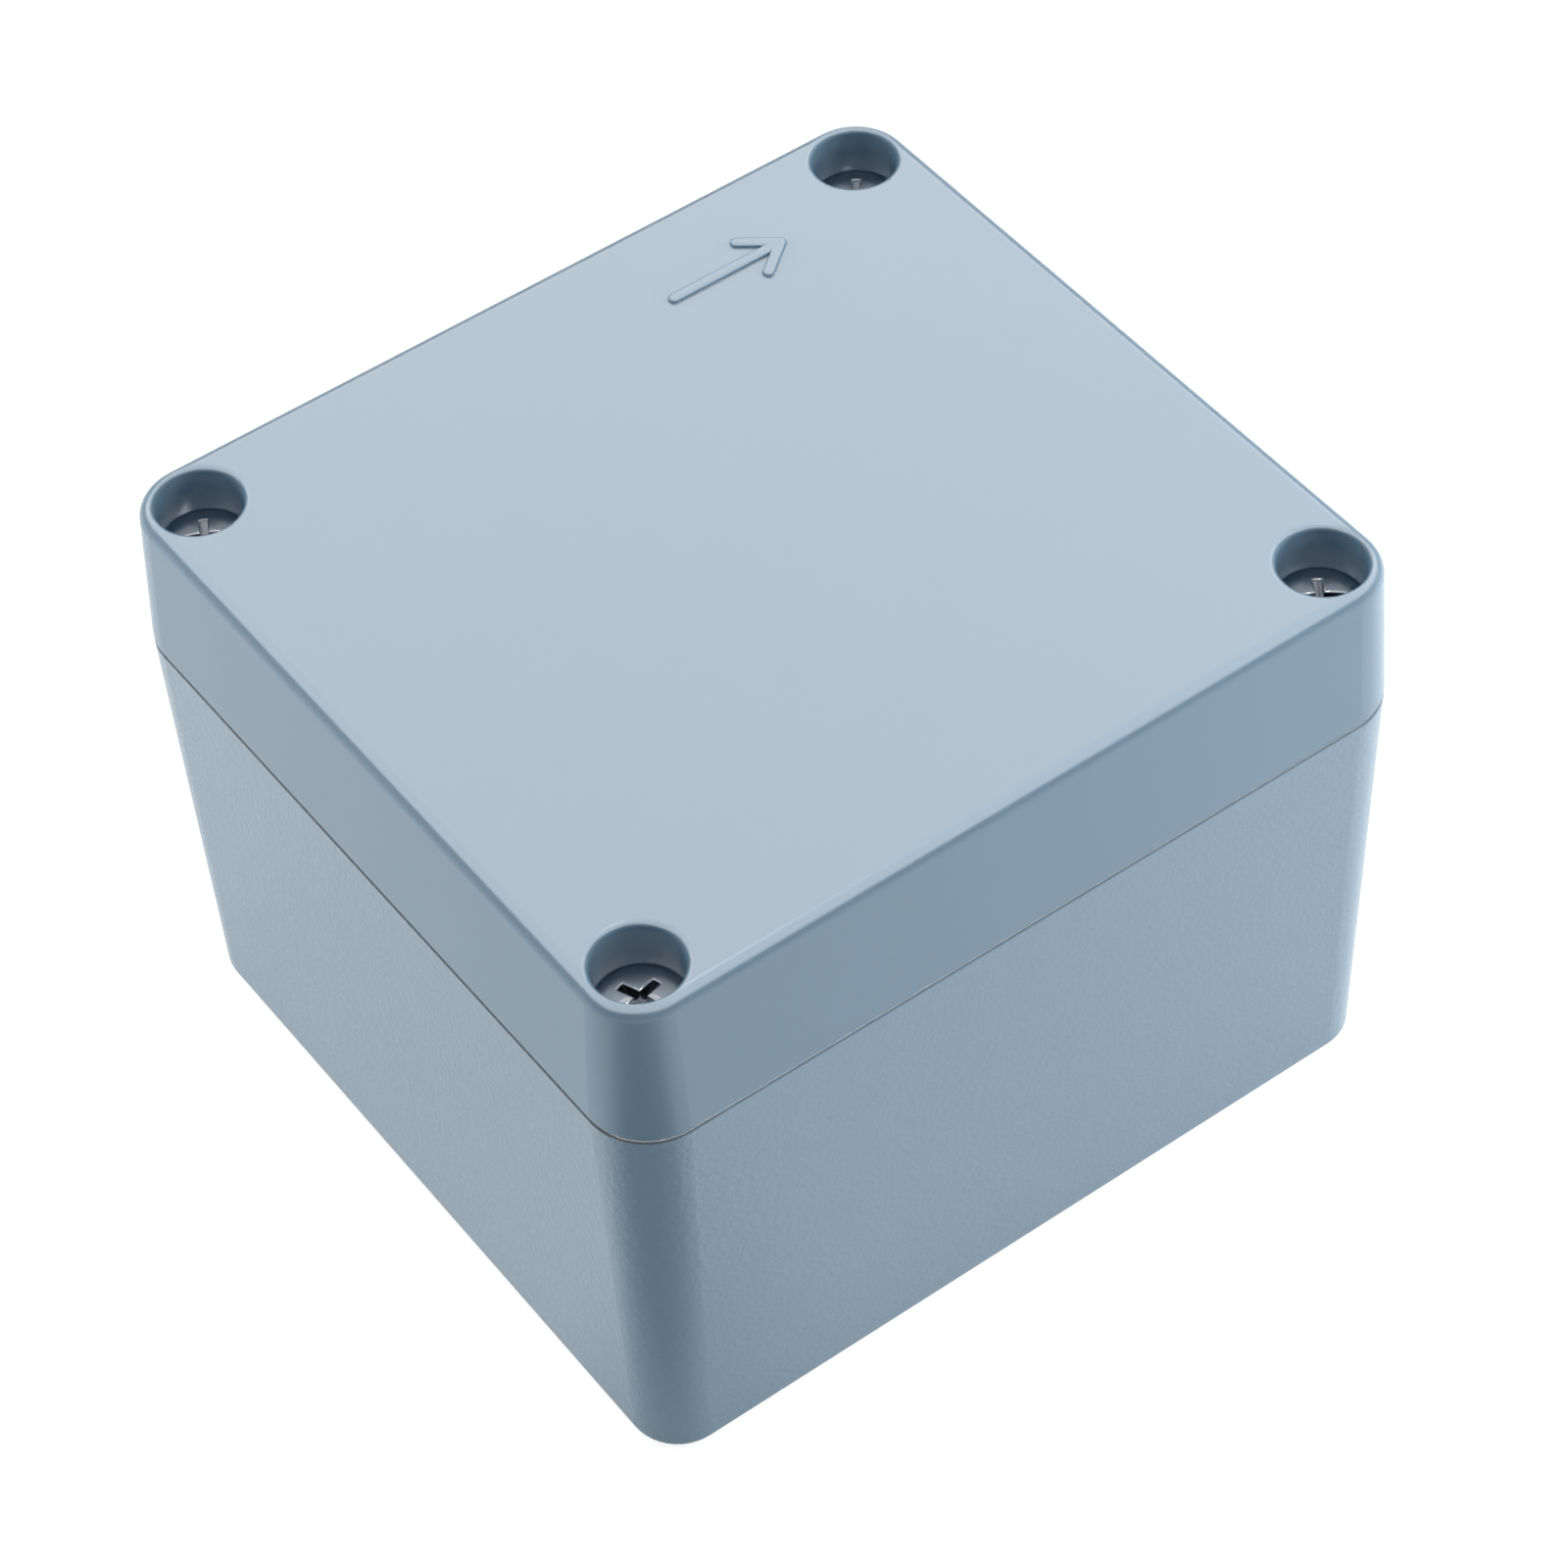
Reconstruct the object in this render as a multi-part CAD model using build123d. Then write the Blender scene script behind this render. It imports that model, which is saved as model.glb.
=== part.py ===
import math
import os

from build123d import *

# A small die-cast enclosure for circuits: a deep base, a screwed lid with a seal in its groove, and
# four oval-head screws sunk in wells at the lid's corners. Millimetres and degrees, +Z up, origin at
# the centre of the underside, X along the longer side.

# Outside of the case
case_length = 80.0
case_width = 75.0
case_height = 59.0
lid_height = 15.0
corner_radius = 5.8
lid_draft_angle = 3.0
base_draft_angle = 1.5
lid_overhang = 0.05
lid_top_radius = 1.3
foot_radius = 1.0
parting_radius = 0.35

# Casting walls
base_wall = 3.4
floor_thickness = 3.0
lid_top_thickness = 3.0
cavity_corner_radius = 4.0
pillar_corner_radius = 3.5
cavity_floor_radius = 1.5
lid_ceiling_radius = 1.0

# Lid screw, metric 4 mm coarse thread with an oval countersunk head
screw_length = 16.0
screw_thread_diameter = 4.0
screw_thread_length = 8.7
screw_shank_diameter = 3.5
screw_tip_chamfer = 0.5
screw_tip_dimple = 0.35
head_diameter = 7.3
head_rim = 0.2
head_dome = 0.7
head_cone_angle = 90.0
recess_span = 4.4
recess_foot_span = 2.2
recess_slot_width = 1.0
recess_core_diameter = 2.4
recess_depth = 1.9

# Screw wells in the lid
well_depth = 5.1
head_clearance = 0.15
well_wall = 2.0
well_rim_radius = 0.6
shank_clearance = 0.45
seat_clearance = 0.05
thread_clearance = 0.05
tapped_run_out = 3.0

# Holes that fasten the base to a wall, in channels outside the seal
mount_inset_x = 6.5
mount_inset_y = 14.5
mount_hole_diameter = 4.5
mount_channel_diameter = 7.2
mount_ledge = 4.0
seal_margin = 3.0
channel_pocket_ceiling = 4.0

# Seal: a tongue on the base presses a gasket in the lid's groove
tongue_width = 1.0
tongue_height = 1.2
tongue_setback = 0.3
tongue_edge_radius = 0.25
gasket_width = 2.0
gasket_height = 1.8
gasket_clearance = 0.1
groove_lip = 1.5

# Bosses on the floor for a circuit board or plate
board_inset_x = 18.0
board_inset_y = 9.5
board_boss_diameter = 6.4
board_boss_height = 4.0
board_hole_diameter = 2.5
board_hole_floor = 1.5

# Raised arrow on the lid, cast in place
mark_inset_x = 23.2
mark_inset_y = 10.7
mark_length = 12.5
mark_head_length = 5.0
mark_head_angle = 38.0
mark_stroke_width = 1.1
mark_height = 0.35
mark_edge_radius = 0.3

# How near counts as touching, when edges and corners are picked by their place
touch = 0.001

# Heights
parting = case_height - lid_height
head_plane = case_height - well_depth
groove_depth = tongue_height + gasket_height

# The base is a little shorter than the lid, so that the lid's end faces stand proud of it
base_length = case_length - 2 * lid_overhang
base_width = case_width
base_corner_radius = corner_radius - lid_overhang

# Screw radii and places
well_radius = head_diameter / 2 + head_clearance
screw_inset = well_radius + well_wall
screw_x = case_length / 2 - screw_inset
screw_y = case_width / 2 - screw_inset
head_radius = head_diameter / 2
thread_radius = screw_thread_diameter / 2
shank_radius = screw_shank_diameter / 2
hole_radius = shank_radius + shank_clearance
tapped_radius = thread_radius + thread_clearance
head_slope = math.tan(math.radians(head_cone_angle / 2))
screw_tip = head_plane + head_rim - screw_length

# Where each screw stands, and how far its driver slots are turned from the X axis
corners = {
    "front_left": (-1, -1, 17.0),
    "front_right": (1, -1, 57.0),
    "back_left": (-1, 1, 62.0),
    "back_right": (1, 1, 52.0),
}

# Places of the wall holes, the board bosses and the arrow, by their insets from the sides
mount_x = case_length / 2 - mount_inset_x
mount_y = case_width / 2 - mount_inset_y
board_x = case_length / 2 - board_inset_x
board_y = case_width / 2 - board_inset_y
mark_x = case_length / 2 - mark_inset_x
mark_y = case_width / 2 - mark_inset_y

# The cavity is a cross in plan: its arms pass between the four corner pillars
cavity_half_length = base_length / 2 - base_wall
cavity_half_width = base_width / 2 - base_wall
cavity_neck = mount_x - mount_channel_diameter / 2 - seal_margin
cavity_waist = mount_y - mount_channel_diameter / 2 - seal_margin
tongue_outer = tongue_setback + tongue_width
seal_line = tongue_setback + tongue_width / 2
gasket_outer = seal_line + gasket_width / 2
gasket_inner = seal_line - gasket_width / 2


def corners_near(outline, x, y):
    """An outline's corners at plus or minus x and plus or minus y."""
    return outline.vertices().filter_by(lambda v: math.dist((abs(v.X), abs(v.Y)), (x, y)) < touch)


def cavity_outline(growth):
    """The cavity's cross-shaped outline, moved outwards by growth, with rounded corners."""
    half_length = cavity_half_length + growth
    half_width = cavity_half_width + growth
    neck = cavity_neck + growth
    waist = cavity_waist + growth
    cross = Rectangle(2 * half_length, 2 * waist) + Rectangle(2 * neck, 2 * half_width)
    cross = fillet(corners_near(cross, neck, waist), pillar_corner_radius - growth)
    arm_corners = corners_near(cross, half_length, waist) + corners_near(cross, neck, half_width)
    return fillet(arm_corners, cavity_corner_radius + growth)


def narrowing_up(outline, foot, height, draft):
    """A block on an outline, from the height foot upwards, with its sides drawn in by the draft."""
    return Pos(0, 0, foot) * extrude(outline, height, taper=draft)


def narrowing_down(outline, top, height, draft):
    """A block hung from an outline at the height top, with its sides drawn in by the draft."""
    return Pos(0, 0, top) * Rot(180, 0, 0) * extrude(outline, height, taper=draft)


def turned(profile):
    """A solid turned about Z from a closed profile of radius and height."""
    return revolve(Plane.XZ * make_face(profile), Axis.Z)


def upright(radius, foot, top):
    """A cylinder about Z between two heights."""
    return Pos(0, 0, foot) * extrude(Circle(radius), top - foot)


def at_corners(solid, x, y):
    """Four copies of a solid, at the corners of a rectangle with half sizes x and y."""
    return [Pos(side_x * x, side_y * y, 0) * solid for side_x in (-1, 1) for side_y in (-1, 1)]


def edges_at(solid, height):
    """The solid's edges that lie level at a height."""
    return solid.edges().filter_by_position(Axis.Z, height - touch, height + touch)


def make_base():
    """The base casting: walls, corner pillars, tongue, board bosses and its holes."""
    outline = RectangleRounded(base_length, base_width, base_corner_radius)
    body = narrowing_down(outline, parting, parting, base_draft_angle)
    body = fillet(edges_at(body, 0), foot_radius)
    body = fillet(edges_at(body, parting), parting_radius)

    cavity_depth = parting - floor_thickness
    cavity = narrowing_down(cavity_outline(0), parting, cavity_depth, base_draft_angle)
    cavity = fillet(edges_at(cavity, floor_thickness), cavity_floor_radius)
    body -= cavity

    tongue_face = cavity_outline(tongue_outer) - cavity_outline(tongue_setback)
    tongue = Pos(0, 0, parting) * extrude(tongue_face, tongue_height)
    body += fillet(edges_at(tongue, parting + tongue_height), tongue_edge_radius)

    boss_top = floor_thickness + board_boss_height
    boss = upright(board_boss_diameter / 2, floor_thickness, boss_top)
    body += at_corners(boss, board_x, board_y)
    board_hole = upright(board_hole_diameter / 2, board_hole_floor, boss_top)
    body -= at_corners(board_hole, board_x, board_y)

    channel = upright(mount_channel_diameter / 2, mount_ledge, parting)
    mount_hole = upright(mount_hole_diameter / 2, 0, mount_ledge)
    body -= at_corners(channel + mount_hole, mount_x, mount_y)

    tapped_hole = upright(tapped_radius, screw_tip - tapped_run_out, parting)
    body -= at_corners(tapped_hole, screw_x, screw_y)
    return body


def screw_well():
    """What one screw takes out of the lid: the well with its rounded rim, the seat and the hole."""
    seat_foot = head_plane - (head_radius - hole_radius) / head_slope
    rim_foot = case_height - well_rim_radius
    rim_edge = well_radius + well_rim_radius
    above = case_height + well_rim_radius
    wall = Polyline(
        (0, parting),
        (hole_radius, parting),
        (hole_radius, seat_foot),
        (head_radius, head_plane),
        (well_radius, head_plane),
        (well_radius, rim_foot),
    )
    rim = RadiusArc((well_radius, rim_foot), (rim_edge, case_height), well_rim_radius)
    cap = Polyline((rim_edge, case_height), (rim_edge, above), (0, above), (0, parting))
    return turned(wall + rim + cap)


def raised_arrow():
    """The arrow on the lid: a shaft and two head strokes with rounded edges."""
    shaft_span = mark_length - mark_stroke_width
    head_span = mark_head_length - mark_stroke_width
    strokes = SlotCenterToCenter(shaft_span, mark_stroke_width)
    head_stroke = Pos(-head_span / 2, 0) * SlotCenterToCenter(head_span, mark_stroke_width)
    for side in (-1, 1):
        strokes += Pos(shaft_span / 2, 0) * Rot(0, 0, side * mark_head_angle) * head_stroke
    arrow = Pos(0, 0, case_height) * extrude(strokes, mark_height)
    arrow = fillet(edges_at(arrow, case_height + mark_height), mark_edge_radius)
    return Pos(mark_x, mark_y, 0) * arrow


def make_lid():
    """The lid casting: shell, gasket groove, screw wells, pockets over the channels and the arrow."""
    outline = RectangleRounded(case_length, case_width, corner_radius)
    body = narrowing_up(outline, parting, lid_height, lid_draft_angle)
    body = fillet(edges_at(body, case_height), lid_top_radius)
    body = fillet(edges_at(body, parting), parting_radius)

    groove_inner = gasket_inner - gasket_clearance
    cavity_height = lid_height - lid_top_thickness
    cavity_face = cavity_outline(groove_inner - groove_lip)
    cavity = narrowing_up(cavity_face, parting, cavity_height, lid_draft_angle)
    body -= fillet(edges_at(cavity, parting + cavity_height), lid_ceiling_radius)

    groove_face = cavity_outline(gasket_outer + gasket_clearance) - cavity_outline(groove_inner)
    body -= Pos(0, 0, parting) * extrude(groove_face, groove_depth)

    pocket = upright(mount_channel_diameter / 2, parting, case_height - channel_pocket_ceiling)
    body -= at_corners(pocket, mount_x, mount_y)
    body -= at_corners(screw_well(), screw_x, screw_y)
    return body + raised_arrow()


def make_gasket():
    """The sealing strip in the lid's groove, pressed on by the tongue."""
    ring = cavity_outline(gasket_outer) - cavity_outline(gasket_inner)
    return Pos(0, 0, parting + tongue_height) * extrude(ring, gasket_height)


def driver_recess(head_top):
    """The cross recess: two tapering slots and a round core, cut down from the head's top."""
    foot = head_top - recess_depth
    half_span = recess_span / 2
    half_foot = recess_foot_span / 2
    slot_side = Polyline(
        (-half_foot, foot),
        (half_foot, foot),
        (half_span, head_top),
        (-half_span, head_top),
        close=True,
    )
    slot = extrude(Plane.XZ * make_face(slot_side), recess_slot_width / 2, both=True)
    core_radius = recess_core_diameter / 2
    core_side = Polyline(
        (0, foot - core_radius / 2),
        (core_radius, foot),
        (core_radius, head_top),
        (0, head_top),
        close=True,
    )
    return slot + Rot(0, 0, 90) * slot + turned(core_side)


def make_screw():
    """A lid screw in its seat, on the Z axis: oval head, plain shank and threaded end."""
    lift = seat_clearance * math.sqrt(1 + head_slope**2) / head_slope
    rim_foot = head_plane + lift
    rim_top = rim_foot + head_rim
    head_top = rim_top + head_dome
    tip = rim_top - screw_length
    thread_top = tip + screw_thread_length
    shank_top = rim_foot - (head_radius - shank_radius) / head_slope
    dome_radius = (head_radius**2 + head_dome**2) / (2 * head_dome)
    side = Polyline(
        (0, tip + screw_tip_dimple),
        (shank_radius - screw_tip_chamfer, tip),
        (thread_radius - screw_tip_chamfer, tip),
        (thread_radius, tip + screw_tip_chamfer),
        (thread_radius, thread_top - screw_tip_chamfer),
        (shank_radius, thread_top),
        (shank_radius, shank_top),
        (head_radius, rim_foot),
        (head_radius, rim_top),
    )
    dome = RadiusArc((head_radius, rim_top), (0, head_top), -dome_radius)
    axis = Line((0, head_top), (0, tip + screw_tip_dimple))
    return turned(side + dome + axis) - driver_recess(head_top)


nodes = {
    "enclosure_base": make_base(),
    "enclosure_lid": make_lid(),
    "lid_gasket": make_gasket(),
}
screw = make_screw()
for corner, (side_x, side_y, slot_turn) in corners.items():
    place = Pos(side_x * screw_x, side_y * screw_y, 0) * Rot(0, 0, slot_turn)
    nodes[f"lid_screw_{corner}"] = place * screw

os.makedirs("parts", exist_ok=True)
for node, solid in nodes.items():
    export_step(solid, f"parts/{node}.step")
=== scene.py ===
import math

import bmesh
import bpy
from mathutils import Matrix, Quaternion, Vector


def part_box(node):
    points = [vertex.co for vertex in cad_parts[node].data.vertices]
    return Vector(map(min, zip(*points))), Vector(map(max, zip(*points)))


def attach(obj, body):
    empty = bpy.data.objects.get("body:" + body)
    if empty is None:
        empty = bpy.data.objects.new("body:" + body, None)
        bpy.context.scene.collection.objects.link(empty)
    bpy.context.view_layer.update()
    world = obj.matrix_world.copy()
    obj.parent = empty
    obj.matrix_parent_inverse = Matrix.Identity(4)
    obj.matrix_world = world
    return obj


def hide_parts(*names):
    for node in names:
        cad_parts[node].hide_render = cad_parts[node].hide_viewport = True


# A closed die-cast enclosure on a pale floor. All lengths are in metres, in the frame of the model.
mm = 0.001

# Camera: where it looks, from which side, and how far off
camera_target = Vector((-2.73, -6.33, 35.0)) * mm
camera_azimuth = -33.923
camera_elevation = 48.324
camera_roll = -3.333
camera_distance = 417.93 * mm
camera_lens = 112.807
camera_sensor = 36.0

# Lamps: azimuth, elevation, distance, side, watts, and whether they light the colour and the gloss.
# The overhead sheen is for the coat alone.
object_middle = Vector((0, 0, 30)) * mm
lamps = {
    "overhead_sheen": (146, 85, 0.6, 2.2, 80.0, False, True),
    "left_lamp": (216, 15, 0.5, 0.4, 2.9, True, False),
    "right_lamp": (64, 15, 0.32, 0.3, 1.9, True, False),
    "front_lamp": (326, 12, 0.5, 0.3, 0.5, True, False),
    "overhead_fill": (146, 85, 0.6, 1.0, 3.0, True, False),
    "top_lamp": (100, 80, 0.5, 0.06, 0.25, True, True),
}

# Floor and surround: the white that is seen, and the light that they give
floor_size = 6.0
floor_drop = 0.01 * mm
floor_tone = 0.80
floor_glow = 0.85
floor_shade = 0.20
floor_glow_mirrored = 0.40
floor_shade_mirrored = 0.60
surround_light = 0.24

# Painted shade on the floor below the near corner, seen only in reflections, which the corner's gloss
# shows
corner_shade_place = Vector((-60, -62, 0)) * mm
corner_shade_core = 20 * mm
corner_shade_radius = 50 * mm
corner_shade_depth = 0.9

# Powder coat of each casting: its two tones, the size and height of its orange peel, and its roughness
lid_finish = ((0.102, 0.173, 0.238, 1), (0.106, 0.179, 0.246, 1), 0.55 * mm, 0.006 * mm, 0.25)
base_finish = ((0.126, 0.199, 0.263, 1), (0.130, 0.206, 0.272, 1), 0.55 * mm, 0.06 * mm, 0.25)
peel_gloss_change = 0.015
mottle_size = 6 * mm
coat_edge_radius = 0.1 * mm
coat_ior = 1.6

# Lid screws: metric 4 mm coarse thread, oval countersunk head with a cross recess
weld_distance = 0.0005 * mm
sharp_angle = math.radians(28)
steps_round = 64
dome_steps = 12
lip_steps = 4
screw_length = 16.0 * mm
thread_radius = 2.0 * mm
thread_pitch = 0.7 * mm
thread_depth = 0.43 * mm
shank_radius = 1.75 * mm
tip_chamfer = 0.5 * mm
tip_dimple = 0.35 * mm
dimple_inset = 0.3 * mm
dimple_rim = 0.05 * mm
run_out = 0.15 * mm
thread_length = 8.7 * mm
head_radius = 3.65 * mm
head_rim = 0.2 * mm
head_dome = 0.7 * mm
head_slope = math.tan(math.radians(45))
recess_span = 4.4 * mm
recess_foot_span = 2.2 * mm
recess_slot_width = 1.0 * mm
recess_foot_width = 0.7 * mm
recess_depth = 1.9 * mm
recess_lip = 0.16 * mm
recess_point = 0.45 * mm
slot_turns = {"front_left": 17.0, "front_right": 57.0, "back_left": 62.0, "back_right": 52.0}

# Painted shade in the joint under the lid: how far down it reaches on the base's rounded edge, and how
# dark it is at the left and elsewhere
parting_height = 44.0 * mm
seam_height = 0.5 * mm
seam_painted_shade = 0.6
seam_painted_shade_left = 0.2
seam_left_from = -38 * mm
seam_left_to = -30 * mm

# Places of bare metal on the base: tapped holes under the lid screws, and board bosses
tapped_hole_radius = 2.05 * mm
tapped_hole_foot = 30.0 * mm
board_hole_x = 22.0 * mm
board_hole_y = 28.0 * mm
board_boss_radius = 3.2 * mm
board_hole_radius = 1.25 * mm
board_boss_foot = 1.0 * mm
board_boss_top = 7.0 * mm
metal_margin = 0.1 * mm

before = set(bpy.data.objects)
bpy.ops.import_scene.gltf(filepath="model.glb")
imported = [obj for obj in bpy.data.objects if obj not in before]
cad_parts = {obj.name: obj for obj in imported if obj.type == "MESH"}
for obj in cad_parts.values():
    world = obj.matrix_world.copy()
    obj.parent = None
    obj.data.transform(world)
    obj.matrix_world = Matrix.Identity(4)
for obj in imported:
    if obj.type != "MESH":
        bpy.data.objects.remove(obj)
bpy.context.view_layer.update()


class Graph:
    """The shader graph of a material or world, built node by node."""

    def __init__(self, owner):
        owner.use_nodes = True
        self.owner = owner
        self.tree = owner.node_tree
        self.tree.nodes.clear()

    def node(self, kind, inputs=None, **settings):
        """A node with its settings and inputs. An input is a plain value or another node's output."""
        made = self.tree.nodes.new("ShaderNode" + kind)
        for key, value in settings.items():
            setattr(made, key, value)
        for key, value in (inputs or {}).items():
            if isinstance(value, bpy.types.NodeSocket):
                self.tree.links.new(value, made.inputs[key])
            else:
                made.inputs[key].default_value = value
        return made

    def math(self, operation, *values):
        """The output of a Math node."""
        return self.node("Math", dict(enumerate(values)), operation=operation).outputs[0]

    def noise(self, place, size, detail=2.0):
        """The height of a noise whose bumps are about as large as size."""
        inputs = {"Vector": place, "Scale": 1 / size, "Detail": detail}
        return self.node("TexNoise", inputs).outputs["Fac"]

    def bump(self, height, distance, normal=None):
        """A normal tilted by a height of 0 to 1 that stands for that distance."""
        inputs = {"Height": height, "Distance": distance}
        if normal:
            inputs["Normal"] = normal
        return self.node("Bump", inputs).outputs["Normal"]

    def ramp(self, value, start, end, first=0.0, last=1.0, kind="LINEAR"):
        """A number that goes from first to last as a value goes from start to end, and stays there."""
        inputs = {"Value": value, "From Min": start, "From Max": end, "To Min": first, "To Max": last}
        return self.node("MapRange", inputs, interpolation_type=kind).outputs["Result"]

    def between(self, value, low, high):
        """1 where a value lies between two limits, and 0 elsewhere."""
        above = self.math("GREATER_THAN", value, low)
        return self.math("MULTIPLY", above, self.math("LESS_THAN", value, high))

    def blend(self, factor, first, second):
        """A colour between two."""
        mix = self.node("Mix", {"Factor": factor}, data_type="RGBA")
        for socket, value in ((mix.inputs[6], first), (mix.inputs[7], second)):
            if isinstance(value, bpy.types.NodeSocket):
                self.tree.links.new(value, socket)
            else:
                socket.default_value = value
        return mix.outputs[2]

    def level(self, usual, cases):
        """A plain value, replaced where a mask of 0 or 1 picks a case."""
        value = usual
        for mask, other in cases:
            inputs = {"Factor": mask, "A": value, "B": other}
            value = self.node("Mix", inputs, data_type="FLOAT").outputs["Result"]
        return value

    def shown(self):
        """1 for the rays that show the background, in the picture or in a reflection."""
        path = self.node("LightPath").outputs
        reflected = self.math("MAXIMUM", path["Is Glossy Ray"], path["Is Transmission Ray"])
        return self.math("MAXIMUM", path["Is Camera Ray"], reflected)

    def end(self, surface):
        """Ends the graph in a surface shader and gives the material or world."""
        kind = "OutputWorld" if isinstance(self.owner, bpy.types.World) else "OutputMaterial"
        self.node(kind, {"Surface": surface.outputs[0]})
        return self.owner


def new_graph(name):
    """The empty graph of a new material."""
    return Graph(bpy.data.materials.new(name))


def powder_coat(name, darker, lighter, peel_size, peel_height, roughness):
    """The graph of a satin grey-blue powder coat: its place, colour, roughness and normal."""
    graph = new_graph(name)
    place = graph.node("TexCoord").outputs["Object"]
    mottle = graph.noise(place, mottle_size)
    colour = graph.blend(mottle, darker, lighter)
    edge = graph.node("Bevel", {"Radius": coat_edge_radius}, samples=4).outputs["Normal"]
    peel = graph.noise(place, peel_size, detail=1.5)
    normal = graph.bump(peel, peel_height, edge)
    gloss = graph.ramp(peel, 0, 1, roughness - peel_gloss_change, roughness + peel_gloss_change)
    return graph, place, colour, gloss, normal


def coat_shader(graph, colour, gloss, normal):
    """The coat's shader: a dielectric with a strong, slightly soft gloss."""
    inputs = {"Base Color": colour, "Roughness": gloss, "Normal": normal, "IOR": coat_ior}
    return graph.node("BsdfPrincipled", inputs)


def lid_coat():
    """The lid's smooth coat."""
    graph, _, colour, gloss, normal = powder_coat("lid_coat", *lid_finish)
    return graph.end(coat_shader(graph, colour, gloss, normal))


def ring_distance(graph, place, x, y):
    """How far a point is from the nearest of four upright axes at plus and minus x and y."""
    axes = graph.node("SeparateXYZ", {"Vector": place}).outputs
    off_x = graph.math("SUBTRACT", graph.math("ABSOLUTE", axes["X"]), x)
    off_y = graph.math("SUBTRACT", graph.math("ABSOLUTE", axes["Y"]), y)
    offset = graph.node("CombineXYZ", {"X": off_x, "Y": off_y}).outputs["Vector"]
    return graph.node("VectorMath", {0: offset}, operation="LENGTH").outputs["Value"]


def painted_joint_shade(graph, axes):
    """1, or less where shade is painted on the rounded edge of the joint under the lid, darkest at the
    left.
    """
    facing = graph.node("TexCoord").outputs["Normal"]
    upward = graph.node("SeparateXYZ", {"Vector": facing}).outputs["Z"]
    above_wall = graph.ramp(upward, 0.0, 0.2)
    below_land = graph.ramp(upward, 0.8, 0.95, 1, 0)
    rounded = graph.math("MULTIPLY", above_wall, below_land)
    level = graph.between(axes["Z"], parting_height - seam_height, parting_height + 0.01 * mm)
    tone = graph.ramp(axes["X"], seam_left_from, seam_left_to, seam_painted_shade_left, seam_painted_shade)
    edge = graph.math("MULTIPLY", rounded, level)
    return graph.ramp(edge, 0, 1, 1, tone)


def base_coat(screw_x, screw_y):
    """The base's grainier coat, with bare machined metal in the tapped holes and on the board bosses."""
    graph, place, colour, gloss, normal = powder_coat("base_coat", *base_finish)
    axes = graph.node("SeparateXYZ", {"Vector": place}).outputs
    height = axes["Z"]
    # The joint's painted shade darkens the coat's colour here.
    shade = painted_joint_shade(graph, axes)
    colour = graph.node("VectorMath", {0: colour, 1: shade}, operation="MULTIPLY").outputs["Vector"]
    coat = coat_shader(graph, colour, gloss, normal)

    from_screw = ring_distance(graph, place, screw_x, screw_y)
    in_thread = graph.math("LESS_THAN", from_screw, tapped_hole_radius + metal_margin)
    in_pillar = graph.between(height, tapped_hole_foot, parting_height - metal_margin)
    tapped = graph.math("MULTIPLY", in_thread, in_pillar)

    from_hole = ring_distance(graph, place, board_hole_x, board_hole_y)
    on_boss = graph.math("LESS_THAN", from_hole, board_boss_radius + metal_margin)
    boss_level = graph.between(height, board_boss_foot, board_boss_top + metal_margin)
    at_top = graph.math("GREATER_THAN", height, board_boss_top - metal_margin)
    in_hole = graph.math("LESS_THAN", from_hole, board_hole_radius + metal_margin)
    near_boss = graph.math("MULTIPLY", on_boss, boss_level)
    faced = graph.math("MULTIPLY", near_boss, graph.math("MAXIMUM", at_top, in_hole))

    turns = graph.math("SINE", graph.math("MULTIPLY", height, 2 * math.pi / thread_pitch))
    cut = graph.bump(turns, 0.05 * mm)
    metal = graph.node("BsdfPrincipled", {
        "Base Color": (0.30, 0.31, 0.33, 1),
        "Metallic": 1.0,
        "Roughness": 0.42,
        "Normal": cut,
    })
    machined = graph.math("MAXIMUM", tapped, faced)
    mix = graph.node("MixShader", {0: machined, 1: coat.outputs[0], 2: metal.outputs[0]})
    return graph.end(mix)


def sealing_rubber():
    """Matt black rubber with a fine moulded grain."""
    graph = new_graph("sealing_rubber")
    place = graph.node("TexCoord").outputs["Object"]
    grain = graph.noise(place, 0.25 * mm, detail=3)
    colour = graph.blend(graph.noise(place, 3 * mm), (0.018, 0.018, 0.019, 1), (0.028, 0.028, 0.030, 1))
    inputs = {
        "Base Color": colour,
        "Roughness": 0.62,
        "Normal": graph.bump(grain, 0.02 * mm),
    }
    return graph.end(graph.node("BsdfPrincipled", inputs))


def turned_steel():
    """Bright stainless steel with fine rings from turning and a slight stain of tones."""
    graph = new_graph("turned_steel")
    place = graph.node("TexCoord").outputs["Object"]
    axes = graph.node("SeparateXYZ", {"Vector": place}).outputs
    squares = graph.math(
        "ADD", graph.math("MULTIPLY", axes["X"], axes["X"]), graph.math("MULTIPLY", axes["Y"], axes["Y"])
    )
    ring = graph.node("CombineXYZ", {"X": graph.math("SQRT", squares), "Z": axes["Z"]}).outputs["Vector"]
    rings = graph.noise(ring, 0.12 * mm, detail=2)
    colour = graph.blend(graph.noise(place, 1.2 * mm), (0.52, 0.54, 0.57, 1), (0.60, 0.62, 0.65, 1))
    edge = graph.node("Bevel", {"Radius": 0.06 * mm}, samples=4).outputs["Normal"]
    inputs = {
        "Base Color": colour,
        "Metallic": 1.0,
        "Roughness": graph.ramp(rings, 0, 1, 0.08, 0.14),
        "Normal": graph.bump(rings, 0.004 * mm, edge),
    }
    return graph.end(graph.node("BsdfPrincipled", inputs))


def ring(work, radius, height):
    """A ring of vertices about Z, or one vertex where the radius is 0."""
    if radius == 0:
        return [work.verts.new((0, 0, height))]
    turn = 2 * math.pi / steps_round
    return [
        work.verts.new((radius * math.cos(step * turn), radius * math.sin(step * turn), height))
        for step in range(steps_round)
    ]


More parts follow.
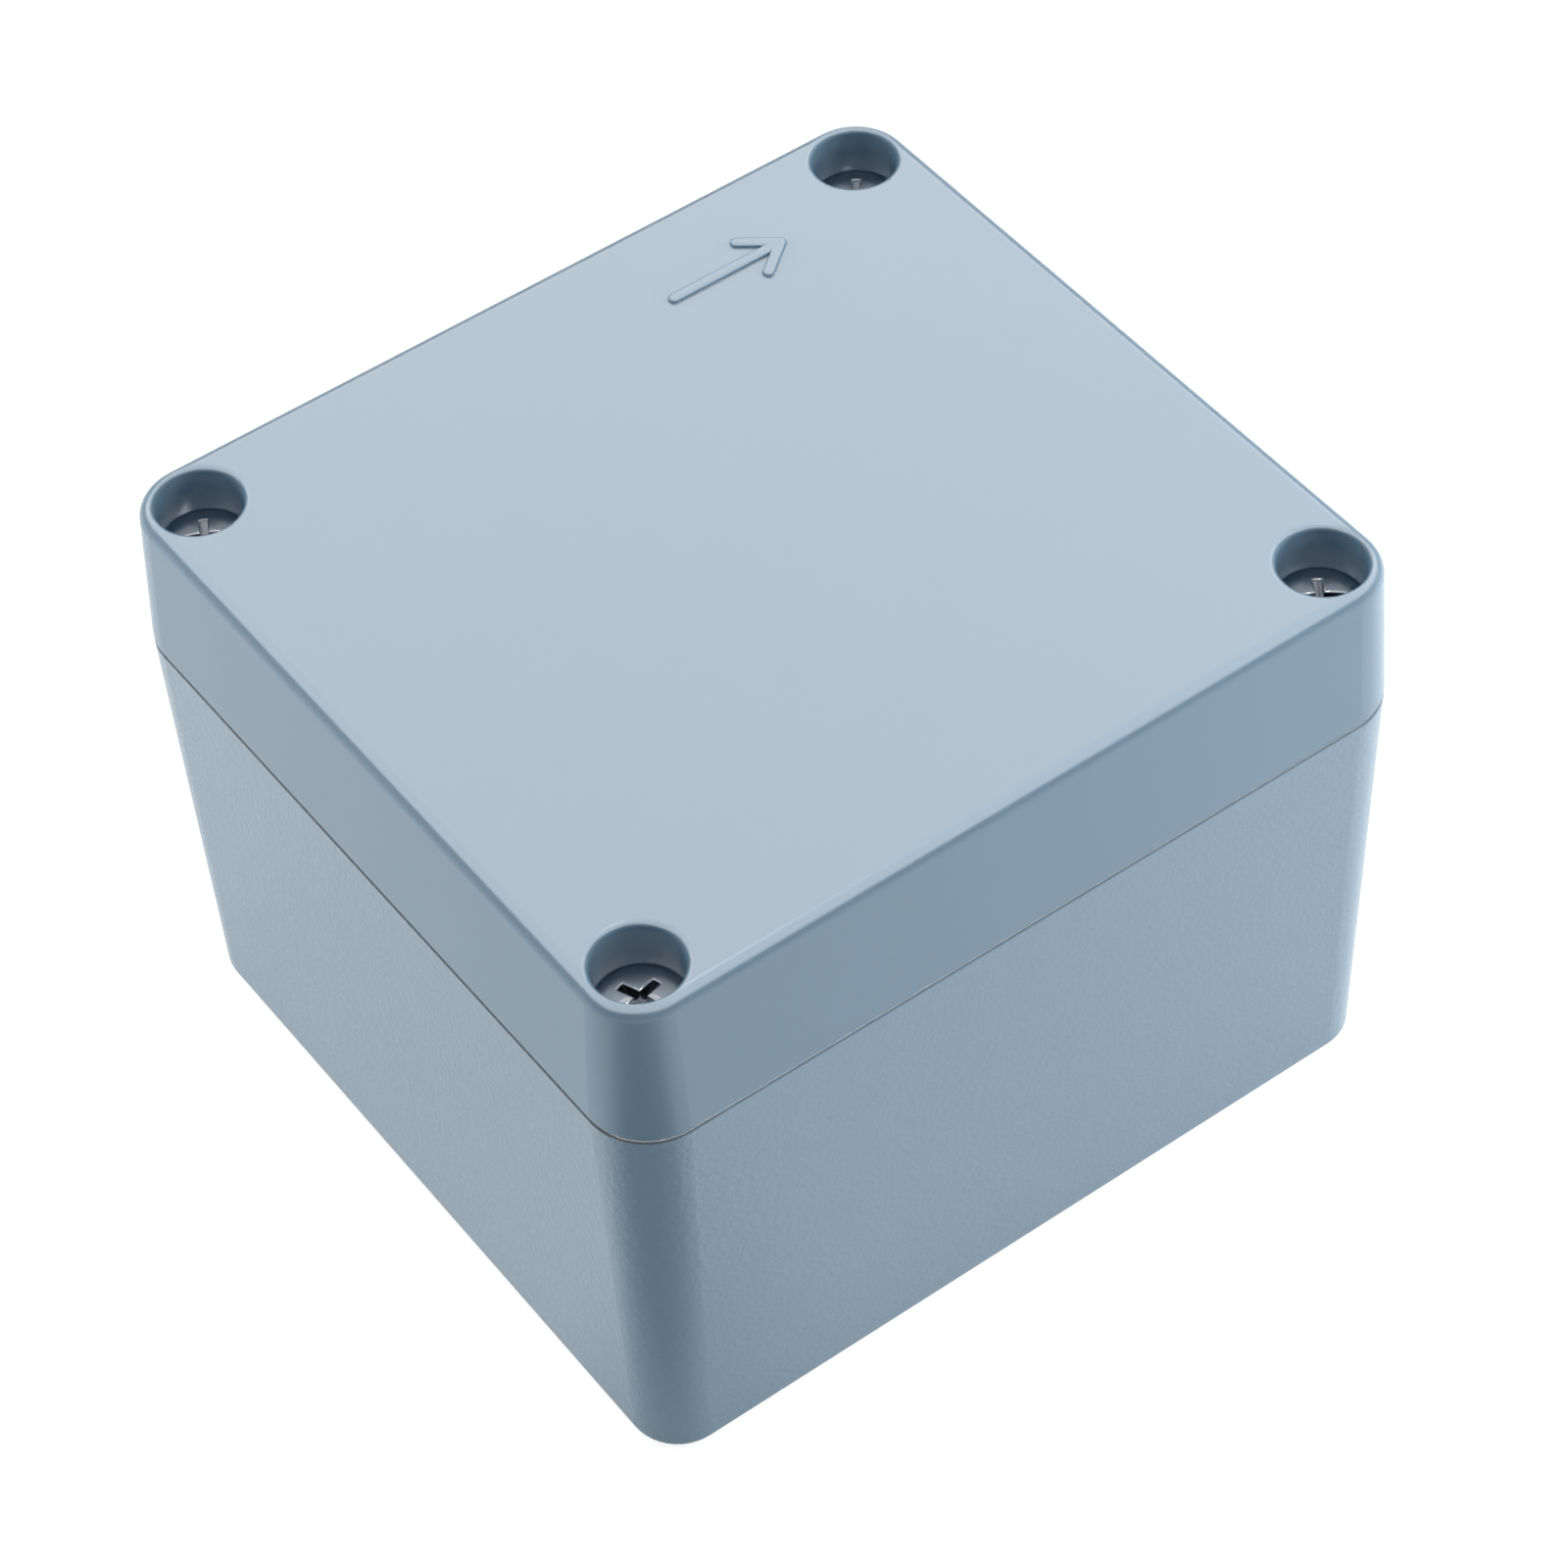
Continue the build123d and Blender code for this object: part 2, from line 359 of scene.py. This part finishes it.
def join_rings(work, lower, upper):
    """Faces between two rings, the second of which comes next going anticlockwise round the profile."""
    for step in range(steps_round):
        after = (step + 1) % steps_round
        if len(lower) == 1:
            work.faces.new((lower[0], upper[after], upper[step]))
        elif len(upper) == 1:
            work.faces.new((lower[step], lower[after], upper[0]))
        else:
            work.faces.new((lower[step], lower[after], upper[after], upper[step]))


def add_profile(work, points):
    """A surface turned from points of radius and height, in order from the foot to the top."""
    rings = [ring(work, radius, height) for radius, height in points]
    for lower, upper in zip(rings, rings[1:]):
        join_rings(work, lower, upper)


def add_thread(work, foot, top):
    """A right-hand thread with flanks of 60 degrees, a flat crest and a wider rounded root."""
    crest = thread_pitch / 8
    root = thread_pitch / 4
    flank = (thread_pitch - crest - root) / 2
    part_way = 0.55
    root_edge = 0.95
    profile = [
        (0.0, 0.0),
        (crest, 0.0),
        (crest + flank * part_way, part_way),
        (crest + flank, root_edge),
        (crest + flank + root / 2, 1.0),
        (crest + flank + root, root_edge),
        (crest + flank * (2 - part_way) + root, part_way),
    ]
    rows_per_turn = len(profile)
    turns = math.ceil((top - foot) / thread_pitch) + 2
    rows = []
    for row in range(turns * rows_per_turn + 1):
        whole, part = divmod(row, rows_per_turn)
        rise, cut = profile[part]
        rows.append((foot + (whole - 1) * thread_pitch + rise, cut))

    def envelope(height):
        """The radius that the chamfered end and the run-out leave."""
        near_tip = thread_radius - tip_chamfer + (height - foot)
        near_shank = thread_radius - thread_depth + 2 * (top - height)
        return min(thread_radius, near_tip, near_shank)

    grid = []
    for base, cut in rows:
        line = []
        for step in range(steps_round):
            turn = step / steps_round
            height = min(max(base + turn * thread_pitch, foot), top)
            radius = min(thread_radius - cut * thread_depth, envelope(height))
            angle = 2 * math.pi * turn
            line.append(work.verts.new((radius * math.cos(angle), radius * math.sin(angle), height)))
        grid.append(line)
    for row in range(len(grid) - 1 - rows_per_turn):
        for step in range(steps_round):
            if step + 1 < steps_round:
                right = (grid[row][step + 1], grid[row + 1][step + 1])
            else:
                right = (grid[row + rows_per_turn][0], grid[row + 1 + rows_per_turn][0])
            work.faces.new((grid[row][step], right[0], right[1], grid[row + 1][step]))


def dome_height(radius):
    """How far the head's dome stands above its rim at a distance from the axis."""
    sphere = (head_radius**2 + head_dome**2) / (2 * head_dome)
    return head_dome - sphere + math.sqrt(sphere**2 - radius**2)


def screw_solid(rim_top, tip):
    """The screw without its recess, on the Z axis."""
    work = bmesh.new()
    thread_top = tip + thread_length
    root_radius = thread_radius - thread_depth
    end = [
        (0, tip + tip_dimple),
        (root_radius - dimple_inset, tip + dimple_rim),
        (thread_radius - tip_chamfer, tip),
    ]
    add_profile(work, end)
    add_thread(work, tip, thread_top)
    rim_foot = rim_top - head_rim
    shank_top = rim_foot - (head_radius - shank_radius) / head_slope
    points = [
        (root_radius, thread_top),
        (shank_radius, thread_top + run_out),
        (shank_radius, shank_top),
        (head_radius, rim_foot),
        (head_radius, rim_top),
    ]
    for step in range(1, dome_steps + 1):
        radius = head_radius * (1 - step / dome_steps)
        points.append((radius, rim_top + dome_height(radius)))
    add_profile(work, points)
    bmesh.ops.remove_doubles(work, verts=work.verts, dist=weld_distance)
    bmesh.ops.dissolve_degenerate(work, edges=work.edges, dist=weld_distance)
    bmesh.ops.recalc_face_normals(work, faces=work.faces)
    mesh = bpy.data.meshes.new("screw")
    work.to_mesh(mesh)
    work.free()
    return mesh


def recess_cutter(rim_top):
    """The cross that a driver leaves: four wings with rounded lips that narrow to a pointed foot."""
    work = bmesh.new()
    foot = rim_top + head_dome - recess_depth

    def cross(half_span, half_width, height):
        """A cross-shaped loop. The height is a number, or goes by the distance from the axis."""
        side = [(half_span, -half_width), (half_span, half_width), (half_span / 2, half_width)]
        side += [(half_width, half_width), (half_width, half_span / 2)]
        loop = []
        for quarter in range(4):
            turn = Matrix.Rotation(quarter * math.pi / 2, 2)
            for corner in side:
                x, y = turn @ Vector(corner)
                z = height(math.hypot(x, y)) if callable(height) else height
                loop.append(work.verts.new((x, y, z)))
        return loop

    loops = [cross(recess_foot_span / 2, recess_foot_width / 2, foot)]
    for step in range(lip_steps + 1):
        turn = step / lip_steps * math.pi / 2
        growth = recess_lip * (1 - math.cos(turn))
        drop = recess_lip * (1 - math.sin(turn))
        loops.append(cross(
            recess_span / 2 - recess_lip + growth,
            recess_slot_width / 2 - recess_lip + growth,
            lambda radius: rim_top + dome_height(radius) - drop,
        ))
    loops.append(cross(
        recess_span / 2 + recess_lip,
        recess_slot_width / 2 + recess_lip,
        rim_top + head_dome,
    ))
    count = len(loops[0])
    for lower, upper in zip(loops, loops[1:]):
        for step in range(count):
            after = (step + 1) % count
            work.faces.new((lower[step], lower[after], upper[after], upper[step]))
    work.faces.new(loops[-1])
    point = work.verts.new((0, 0, foot - recess_point))
    for step in range(count):
        work.faces.new((loops[0][(step + 1) % count], loops[0][step], point))
    bmesh.ops.recalc_face_normals(work, faces=work.faces)
    mesh = bpy.data.meshes.new("recess_cutter")
    work.to_mesh(mesh)
    work.free()
    return bpy.data.objects.new("recess_cutter", mesh)


def smooth_by_angle(mesh, limit):
    """Smooth faces, with the edges that turn by more than the limit kept sharp."""
    work = bmesh.new()
    work.from_mesh(mesh)
    for face in work.faces:
        face.smooth = True
    for edge in work.edges:
        edge.smooth = edge.calc_face_angle(math.pi) < limit
    work.to_mesh(mesh)
    work.free()


def make_screw_mesh(rim_top, tip):
    """The finished screw mesh, with its recess cut."""
    solid = bpy.data.objects.new("screw_solid", screw_solid(rim_top, tip))
    cutter = recess_cutter(rim_top)
    for piece in (solid, cutter):
        bpy.context.scene.collection.objects.link(piece)
    cut = solid.modifiers.new("recess", "BOOLEAN")
    cut.object = cutter
    cut.operation = "DIFFERENCE"
    cut.solver = "EXACT"
    bpy.context.view_layer.update()
    shape = solid.evaluated_get(bpy.context.evaluated_depsgraph_get())
    mesh = bpy.data.meshes.new_from_object(shape)
    for piece in (solid, cutter):
        bpy.data.objects.remove(piece)
    smooth_by_angle(mesh, sharp_angle)
    return mesh


def place_screws(material):
    """A threaded screw in place of each plain screw node."""
    made = None
    for corner, turn in slot_turns.items():
        node = f"lid_screw_{corner}"
        low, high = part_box(node)
        middle = (low + high) / 2
        if made is None:
            made = make_screw_mesh(low.z + screw_length, low.z)
            made.materials.clear()
            made.materials.append(material)
        piece = bpy.data.objects.new(f"threaded_screw_{corner}", made)
        bpy.context.scene.collection.objects.link(piece)
        piece.location = (middle.x, middle.y, 0)
        piece.rotation_euler = (0, 0, math.radians(turn))
        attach(piece, f"screw_{corner}")
        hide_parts(node)


def pale_floor():
    """A white floor that keeps the object's shadow, lightly in the picture and more in reflections,
    where it also has painted shade near the front corner.
    """
    graph = new_graph("pale_floor")
    path = graph.node("LightPath").outputs
    seen = path["Is Camera Ray"]
    mirrored = graph.math("MAXIMUM", path["Is Glossy Ray"], path["Is Transmission Ray"])
    place = graph.node("TexCoord").outputs["Object"]
    # Painted shade on the floor near the front corner, in reflections only.
    apart = {0: place, 1: corner_shade_place}
    offset = graph.node("VectorMath", apart, operation="DISTANCE").outputs["Value"]
    corner_painted_shade = graph.ramp(
        offset, corner_shade_core, corner_shade_radius, 1 - corner_shade_depth, 1, "SMOOTHSTEP"
    )
    shade_mirrored = graph.math("MULTIPLY", corner_painted_shade, floor_shade_mirrored)
    glow_mirrored = graph.math("MULTIPLY", corner_painted_shade, floor_glow_mirrored)
    tone = graph.level(floor_tone, ((seen, floor_shade), (mirrored, shade_mirrored)))
    glow = graph.level(0.0, ((seen, floor_glow), (mirrored, glow_mirrored)))
    grey = graph.node("CombineColor", {0: tone, 1: tone, 2: tone}).outputs[0]
    lit = graph.node("BsdfDiffuse", {"Color": grey})
    light = graph.node("Emission", {"Strength": glow})
    material = graph.end(graph.node("AddShader", {0: lit.outputs[0], 1: light.outputs[0]}))

    work = bmesh.new()
    bmesh.ops.create_grid(work, x_segments=1, y_segments=1, size=floor_size / 2)
    mesh = bpy.data.meshes.new("floor")
    work.to_mesh(mesh)
    work.free()
    mesh.materials.append(material)
    floor = bpy.data.objects.new("floor", mesh)
    floor.location = (0, 0, -floor_drop)
    bpy.context.scene.collection.objects.link(floor)


def pale_surround():
    """A white surround that is seen at full strength and lights the object gently."""
    world = bpy.data.worlds.new("surround")
    bpy.context.scene.world = world
    graph = Graph(world)
    strength = graph.ramp(graph.shown(), 0, 1, surround_light, 1)
    graph.end(graph.node("Background", {"Strength": strength}))


def towards(azimuth, elevation):
    """The direction from the object at an azimuth, 0 in front and 90 at the right, and an elevation."""
    turn = math.radians(azimuth)
    rise = math.radians(elevation)
    return Vector((math.sin(turn) * math.cos(rise), -math.cos(turn) * math.cos(rise), math.sin(rise)))


def softbox(name, azimuth, elevation, distance, size, power, on_colour, on_gloss):
    """A square area lamp that shines at the middle of the object."""
    back = towards(azimuth, elevation)
    lamp = bpy.data.lights.new(name, "AREA")
    lamp.shape = "SQUARE"
    lamp.size = size
    lamp.energy = power
    piece = bpy.data.objects.new(name, lamp)
    piece.location = object_middle + back * distance
    piece.rotation_mode = "QUATERNION"
    piece.rotation_quaternion = (-back).to_track_quat("-Z", "Y")
    piece.visible_diffuse = on_colour
    piece.visible_glossy = on_gloss
    bpy.context.scene.collection.objects.link(piece)
    return piece


def aim_camera():
    """The camera at the photograph's viewing angle."""
    back = towards(camera_azimuth, camera_elevation)
    data = bpy.data.cameras.new("camera")
    data.sensor_width = camera_sensor
    data.lens = camera_lens
    data.clip_start = 10 * mm
    camera = bpy.data.objects.new("camera", data)
    camera.location = camera_target + back * camera_distance
    camera.rotation_mode = "QUATERNION"
    roll = Quaternion((0, 0, 1), math.radians(camera_roll))
    camera.rotation_quaternion = (-back).to_track_quat("-Z", "Y") @ roll
    bpy.context.scene.collection.objects.link(camera)
    bpy.context.scene.camera = camera


def coat_node(node, material):
    """Gives a node of the model its finish."""
    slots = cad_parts[node].data.materials
    slots.clear()
    slots.append(material)


screw_low, screw_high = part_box("lid_screw_back_right")
screw_place = (screw_low + screw_high) / 2
coat_node("enclosure_base", base_coat(screw_place.x, screw_place.y))
coat_node("enclosure_lid", lid_coat())
coat_node("lid_gasket", sealing_rubber())
place_screws(turned_steel())
pale_floor()
pale_surround()
boxes = {name: softbox(name, *lamp) for name, lamp in lamps.items()}
coated = bpy.data.collections.new("coated")
for node in ("enclosure_base", "enclosure_lid"):
    coated.objects.link(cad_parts[node])
boxes["overhead_sheen"].light_linking.receiver_collection = coated
aim_camera()
bpy.context.scene.view_settings.view_transform = "Standard"
